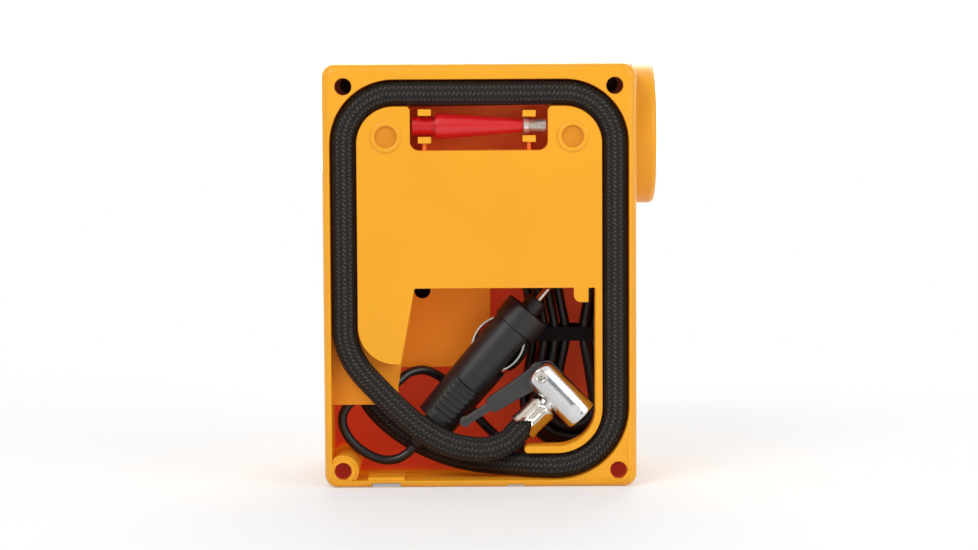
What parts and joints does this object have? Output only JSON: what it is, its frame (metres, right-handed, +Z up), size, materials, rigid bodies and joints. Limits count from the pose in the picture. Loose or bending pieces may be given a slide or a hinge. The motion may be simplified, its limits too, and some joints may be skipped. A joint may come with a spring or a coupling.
{
  "type": "portable tire inflator",
  "caption": "Box-shaped 12 V air pump with side lamp, front gauge and switches; hose, lever chuck, plug and nozzles stored in its open back.",
  "frame": {"origin": "middle of the object's bounding box on the plane that it stands on, without the hose and the power cord", "axes": "+Z up, +Y towards the front with gauge and switches, +X towards the lamp pod"},
  "size_m": [0.1414, 0.0966, 0.179],
  "materials": {
    "yellow_shell": "satin moulded plastic, fine texture",
    "black_plastic": "fine moulded texture",
    "red_plastic": "smooth",
    "clear_plastic": "clear",
    "dial_white": "printed dial",
    "screw_steel": "zinc plated",
    "nickel": "nickel plated",
    "chuck_metal": "bright cast metal",
    "reflector_silver": "metallised",
    "board_green": "solder mask",
    "motor_steel": "zinc plated",
    "magnet": "ferrite",
    "cast_alloy": "die cast",
    "brass": "turned",
    "seal_rubber": "matt",
    "lever_grey": "moulded",
    "hose_braid": "braided sleeve",
    "cord_jacket": "smooth vinyl"
  },
  "bodies": {
    "housing": {"back_shell": "yellow_shell", "front_shell": "yellow_shell", "housing_screws": "screw_steel", "lamp_housing": "yellow_shell", "lamp_bezel": "black_plastic", "lamp_window": "clear_plastic", "reflector": "reflector_silver", "led_board": "board_green", "lamp_cap": "yellow_shell", "gauge_case": "black_plastic", "gauge_dial": "dial_white", "gauge_window": "clear_plastic", "gauge_bezel": "black_plastic", "switch_cases": "black_plastic", "rocker_pins": "screw_steel", "motor_can": "motor_steel", "motor_magnets": "magnet", "motor_end_cap": "black_plastic", "pump_frame": "cast_alloy", "frame_screws": "screw_steel", "pump_cylinder": "cast_alloy", "cylinder_head": "cast_alloy", "valve_reed": "screw_steel", "head_screws": "screw_steel", "air_tee": "brass", "air_tubes": "seal_rubber", "hose_gland": "brass", "cord_gland": "black_plastic", "plug_body": "black_plastic", "plug_cap": "black_plastic", "plug_spring": "screw_steel", "plug_fuse": "clear_plastic", "plug_relief": "seal_rubber", "chuck_body": "chuck_metal", "chuck_gasket": "seal_rubber", "valve_pusher": "brass", "chuck_rivet": "nickel", "ferrule": "chuck_metal", "air_hose": "hose_braid", "cord_lead": "cord_jacket", "cord_inlet": "cord_jacket", "cord_hank": "cord_jacket", "cord_tie": "seal_rubber"},
    "rotor": {"motor_shaft": "screw_steel", "motor_rotor": "magnet", "fan": "black_plastic", "crank_disc": "motor_steel"},
    "piston_group": {"piston": "cast_alloy", "piston_seal": "seal_rubber", "connecting_rod": "cast_alloy", "rod_pins": "screw_steel"},
    "needle": {"gauge_needle": "red_plastic"},
    "power_key": {"power_rocker": "red_plastic"},
    "lamp_key": {"lamp_rocker": "black_plastic"},
    "cone": {"cone_nozzle": "red_plastic"},
    "valve_tip": {"valve_nozzle": "nickel"},
    "centre_pin": {"plug_pin": "nickel"},
    "contact_right": {"plug_contact_right": "nickel"},
    "contact_left": {"plug_contact_left": "nickel"},
    "lever": {"chuck_lever": "lever_grey"}
  },
  "joints": [
    {"name": "chuck_lever_turn", "type": "hinge", "parent": "housing", "child": "lever", "pos_m": [0.02076, -0.04025, 0.0473], "axis": [0, 1, 0], "range_deg": [0, 76]},
    {"name": "plug_pin_press", "type": "slide", "parent": "housing", "child": "centre_pin", "axis": [-0.6494, 0, -0.7604], "range_m": [0, 0.003], "stiffness_N_per_m": 300},
    {"name": "contact_right_press", "type": "slide", "parent": "housing", "child": "contact_right", "axis": [-0.705, 0.3746, 0.6022], "range_m": [0, 0.0015], "stiffness_N_per_m": 400},
    {"name": "contact_left_press", "type": "slide", "parent": "housing", "child": "contact_left", "axis": [0.705, -0.3746, -0.6022], "range_m": [0, 0.0015], "stiffness_N_per_m": 400},
    {"name": "power_switch_rock", "type": "hinge", "parent": "housing", "child": "power_key", "pos_m": [-0.02075, 0.04075, 0.088], "axis": [-1, 0, 0], "range_deg": [0, 20]},
    {"name": "lamp_switch_rock", "type": "hinge", "parent": "housing", "child": "lamp_key", "pos_m": [0.02525, 0.04075, 0.122], "axis": [-1, 0, 0], "range_deg": [0, 20]},
    {"name": "gauge_needle_turn", "type": "hinge", "parent": "housing", "child": "needle", "pos_m": [-0.02075, 0.04375, 0.14], "axis": [0, -1, 0], "range_deg": [0, 270], "stiffness_Nm_per_rad": 0.00005},
    {"name": "motor_turn", "type": "hinge", "parent": "housing", "child": "rotor", "pos_m": [0, 0.02335, 0.034], "axis": [1, 0, 0], "continuous": true},
    {"name": "piston_stroke", "type": "slide", "parent": "housing", "child": "piston_group", "axis": [0, 0, -1], "range_m": [0, 0.01]},
    {"name": "cone_nozzle_pull", "type": "slide", "parent": "housing", "child": "cone", "axis": [0, -1, 0], "range_m": [0, 0.03]},
    {"name": "valve_nozzle_pull", "type": "slide", "parent": "housing", "child": "valve_tip", "axis": [0, -1, 0], "range_m": [0, 0.03]}
  ]
}
